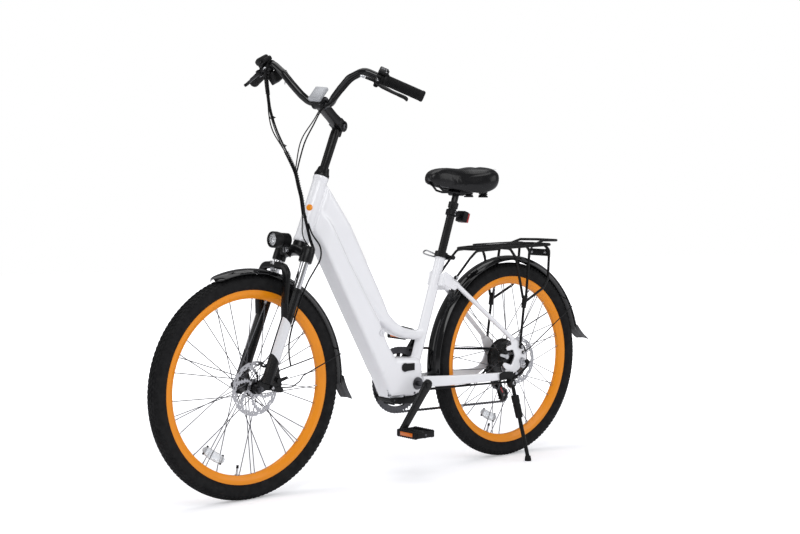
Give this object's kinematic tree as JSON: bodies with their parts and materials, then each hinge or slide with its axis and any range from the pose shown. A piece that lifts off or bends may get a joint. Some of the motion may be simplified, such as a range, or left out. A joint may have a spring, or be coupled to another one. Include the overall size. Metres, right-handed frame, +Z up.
{
  "type": "electric bicycle",
  "caption": "Step-through electric city bicycle with a battery frame, hub motor, suspension fork, disc brakes, fenders, rear rack and kickstand.",
  "frame": {"origin": "bottom centre of the box round the whole bicycle, on the floor it stands on", "axes": "+Z up from the floor; -Y towards the front wheel; +X towards the rider's left, where the kickstand is and to which the bicycle leans"},
  "size_m": [0.6298, 1.8208, 1.3269],
  "materials": {
    "front_frame": "gloss white paint",
    "battery_pack": "matt black",
    "motor_controller": "silver",
    "battery_lock": "polished",
    "bottom_cover": "matt black",
    "charge_port_cover": "black",
    "top_tube_cover": "matt black",
    "bottom_bracket": "dark",
    "rear_triangle": "gloss white paint",
    "rear_axle": "bright",
    "seat_clamp": "black paint",
    "seat_clamp_lever": "polished",
    "rear_fender": "black paint",
    "rear_rack": "matt black",
    "kickstand_mount": "black paint",
    "kickstand_leg": "black paint",
    "chain": "dark",
    "guide_pulley": "matt black",
    "tension_pulley": "matt black",
    "rear_derailleur": "black paint",
    "freewheel": "dark",
    "crankset": "black paint",
    "left_pedal": "matt black",
    "right_pedal": "matt black",
    "upper_fork": "black paint",
    "headlight": "black paint",
    "stem_post": "black paint",
    "stem_arm": "black paint",
    "handlebar": "black paint",
    "left_grip": "black",
    "right_grip": "black",
    "left_perch": "black paint",
    "right_perch": "black paint",
    "left_lever": "silver",
    "right_lever": "silver",
    "throttle_lever": "matt black",
    "shift_lever": "matt black",
    "ignition_key": "black paint",
    "display": "silver",
    "fork_lowers": "black paint",
    "front_fender": "black paint",
    "front_caliper": "black paint",
    "front_caliper_arm": "silver",
    "front_axle": "bright",
    "front_wheel": "gloss orange paint",
    "front_tyre": "black",
    "front_rotor": "bright",
    "rear_wheel": "gloss orange paint",
    "rear_tyre": "black",
    "rear_rotor": "bright",
    "rear_caliper": "black paint",
    "rear_caliper_arm": "silver",
    "seatpost": "black paint",
    "rear_light": "black with a red lens",
    "seat_head": "black paint",
    "saddle_cushion": "black",
    "saddle_base": "matt black",
    "control_cables": "black",
    "front_brake_cable": "black",
    "rear_cables": "black"
  },
  "bodies": {
    "frame": {"front_frame": "front_frame", "rear_triangle": "rear_triangle", "battery_pack": "battery_pack", "battery_lock": "battery_lock", "motor_controller": "motor_controller", "bottom_cover": "bottom_cover", "top_tube_cover": "top_tube_cover", "bottom_bracket": "bottom_bracket", "seat_clamp": "seat_clamp", "chain": "chain", "rear_axle": "rear_axle", "rear_derailleur": "rear_derailleur", "rear_caliper": "rear_caliper", "rear_fender": "rear_fender", "rear_rack": "rear_rack", "kickstand_mount": "kickstand_mount", "rear_cables": "rear_cables"},
    "port_cover": {"charge_port_cover": "charge_port_cover"},
    "clamp_lever": {"seat_clamp_lever": "seat_clamp_lever"},
    "kickstand": {"kickstand_leg": "kickstand_leg"},
    "crank": {"crankset": "crankset"},
    "pedal_left": {"left_pedal": "left_pedal"},
    "pedal_right": {"right_pedal": "right_pedal"},
    "sprockets": {"freewheel": "freewheel"},
    "guide_wheel": {"guide_pulley": "guide_pulley"},
    "tension_wheel": {"tension_pulley": "tension_pulley"},
    "wheel_rear": {"rear_wheel": "rear_wheel", "rear_tyre": "rear_tyre", "rear_rotor": "rear_rotor"},
    "caliper_arm_rear": {"rear_caliper_arm": "rear_caliper_arm"},
    "post": {"seatpost": "seatpost", "rear_light": "rear_light"},
    "saddle": {"seat_head": "seat_head", "saddle_base": "saddle_base", "saddle_cushion": "saddle_cushion"},
    "steering": {"upper_fork": "upper_fork", "control_cables": "control_cables"},
    "stem_base": {"stem_post": "stem_post"},
    "lamp": {"headlight": "headlight"},
    "handlebars": {"stem_arm": "stem_arm", "handlebar": "handlebar", "left_grip": "left_grip", "right_grip": "right_grip", "left_perch": "left_perch", "right_perch": "right_perch", "display": "display"},
    "lever_left": {"left_lever": "left_lever"},
    "lever_right": {"right_lever": "right_lever"},
    "throttle": {"throttle_lever": "throttle_lever"},
    "shifter": {"shift_lever": "shift_lever"},
    "key": {"ignition_key": "ignition_key"},
    "lowers": {"fork_lowers": "fork_lowers", "front_fender": "front_fender", "front_caliper": "front_caliper", "front_axle": "front_axle", "front_brake_cable": "front_brake_cable"},
    "caliper_arm_front": {"front_caliper_arm": "front_caliper_arm"},
    "wheel_front": {"front_wheel": "front_wheel", "front_tyre": "front_tyre", "front_rotor": "front_rotor"}
  },
  "joints": [
    {"name": "steering_turn", "type": "hinge", "parent": "frame", "child": "steering", "pos_m": [-0.03877, -0.34808, 0.84062], "axis": [0.0487, 0.3665, 0.9291], "range_deg": [-60, 60], "deforming": ["control_cables"]},
    {"name": "fork_travel", "type": "slide", "parent": "steering", "child": "lowers", "axis": [0.0487, 0.3665, 0.9291], "range_m": [0, 0.03], "stiffness_N_per_m": 6000, "springref_m": -0.03, "deforming": ["front_brake_cable"]},
    {"name": "front_wheel_spin", "type": "hinge", "parent": "lowers", "child": "wheel_front", "pos_m": [-0.0655, -0.57938, 0.33055], "axis": [0.9986, 0, -0.0523], "continuous": true},
    {"name": "rear_wheel_spin", "type": "hinge", "parent": "frame", "child": "wheel_rear", "pos_m": [-0.0655, 0.50862, 0.33055], "axis": [0.9986, 0, -0.0523], "continuous": true},
    {"name": "crank_spin", "type": "hinge", "parent": "frame", "child": "crank", "pos_m": [-0.06768, 0.06362, 0.2891], "axis": [0.9986, 0, -0.0523], "continuous": true},
    {"name": "left_pedal_spin", "type": "hinge", "parent": "crank", "child": "pedal_left", "pos_m": [0.02817, -0.04104, 0.14993], "axis": [0.9986, 0, -0.0523], "continuous": true},
    {"name": "right_pedal_spin", "type": "hinge", "parent": "crank", "child": "pedal_right", "pos_m": [-0.16352, 0.16829, 0.42827], "axis": [0.9986, 0, -0.0523], "continuous": true},
    {"name": "freewheel_spin", "type": "hinge", "parent": "frame", "child": "sprockets", "pos_m": [-0.10994, 0.50862, 0.33287], "axis": [0.9986, 0, -0.0523], "continuous": true},
    {"name": "guide_pulley_spin", "type": "hinge", "parent": "frame", "child": "guide_wheel", "pos_m": [-0.12803, 0.52462, 0.2457], "axis": [0.9986, 0, -0.0523], "continuous": true},
    {"name": "tension_pulley_spin", "type": "hinge", "parent": "frame", "child": "tension_wheel", "pos_m": [-0.13054, 0.55462, 0.19777], "axis": [0.9986, 0, -0.0523], "continuous": true},
    {"name": "kickstand_swing", "type": "hinge", "parent": "frame", "child": "kickstand", "pos_m": [0.02476, 0.44262, 0.25672], "axis": [0.9781, 0, 0.2079], "range_deg": [0, 95]},
    {"name": "seatpost_slide", "type": "slide", "parent": "frame", "child": "post", "axis": [0.0498, 0.309, 0.9498], "range_m": [-0.08, 0.06]},
    {"name": "saddle_suspension", "type": "slide", "parent": "post", "child": "saddle", "axis": [0.0498, 0.309, 0.9498], "range_m": [-0.022, 0], "stiffness_N_per_m": 18000, "springref_m": 0.005},
    {"name": "seat_clamp_turn", "type": "hinge", "parent": "frame", "child": "clamp_lever", "pos_m": [-0.06532, 0.22078, 0.68744], "axis": [0.0498, 0.309, 0.9498], "range_deg": [-90, 0]},
    {"name": "port_cover_turn", "type": "hinge", "parent": "frame", "child": "port_cover", "pos_m": [-0.02463, 0.04762, 0.34242], "axis": [0.0523, 0, 0.9986], "range_deg": [0, 100]},
    {"name": "stem_turn", "type": "hinge", "parent": "steering", "child": "stem_base", "pos_m": [-0.03332, -0.30704, 0.94468], "axis": [0.0487, 0.3665, 0.9291], "range_deg": [-30, 15], "deforming": ["control_cables"]},
    {"name": "stem_tilt", "type": "hinge", "parent": "stem_base", "child": "handlebars", "pos_m": [-0.02786, -0.23576, 1.09924], "axis": [0.9582, 0.2455, -0.1471], "range_deg": [-20, 20], "deforming": ["control_cables"]},
    {"name": "headlight_tilt", "type": "hinge", "parent": "steering", "child": "lamp", "pos_m": [-0.04483, -0.43938, 0.72498], "axis": [0.9986, 0, -0.0523], "range_deg": [-15, 5]},
    {"name": "left_brake_lever", "type": "hinge", "parent": "handlebars", "child": "lever_left", "pos_m": [0.23488, -0.31028, 1.20003], "axis": [0.687, -0.1523, 0.7105], "range_deg": [0, 14], "stiffness_Nm_per_rad": 0.8, "springref_deg": -14.32},
    {"name": "right_brake_lever", "type": "hinge", "parent": "handlebars", "child": "lever_right", "pos_m": [-0.1841, -0.41764, 1.26433], "axis": [0.3026, 0.4059, -0.8624], "range_deg": [0, 14], "stiffness_Nm_per_rad": 0.8, "springref_deg": -14.32},
    {"name": "front_caliper_turn", "type": "hinge", "parent": "lowers", "child": "caliper_arm_front", "pos_m": [-0.00833, -0.5066, 0.34572], "axis": [0.9986, 0, -0.0523], "range_deg": [0, 20]},
    {"name": "rear_caliper_turn", "type": "hinge", "parent": "frame", "child": "caliper_arm_rear", "pos_m": [0.00572, 0.43618, 0.34625], "axis": [0.9986, 0, -0.0523], "range_deg": [0, 20]},
    {"name": "throttle_turn", "type": "hinge", "parent": "handlebars", "child": "throttle", "pos_m": [0.22647, -0.27914, 1.21484], "axis": [0.5898, 0.688, -0.4228], "range_deg": [0, 40], "stiffness_Nm_per_rad": 0.05, "springref_deg": -17.19},
    {"name": "shift_turn", "type": "hinge", "parent": "handlebars", "child": "shifter", "pos_m": [-0.18754, -0.38522, 1.27838], "axis": [0.936, -0.2971, 0.1886], "range_deg": [0, 30], "stiffness_Nm_per_rad": 0.05, "springref_deg": -17.19},
    {"name": "key_turn", "type": "hinge", "parent": "handlebars", "child": "key", "pos_m": [-0.14347, -0.3736, 1.25931], "axis": [0.1796, 0.8643, 0.4698], "range_deg": [0, 90]}
  ],
  "couplings": [
    {"joint": "freewheel_spin", "follows": "crank_spin", "ratio": 3.7143},
    {"joint": "guide_pulley_spin", "follows": "crank_spin", "ratio": -4.7273},
    {"joint": "tension_pulley_spin", "follows": "crank_spin", "ratio": 4.7273},
    {"joint": "front_caliper_turn", "follows": "left_brake_lever", "ratio": 1.4},
    {"joint": "rear_caliper_turn", "follows": "right_brake_lever", "ratio": 1.4}
  ]
}
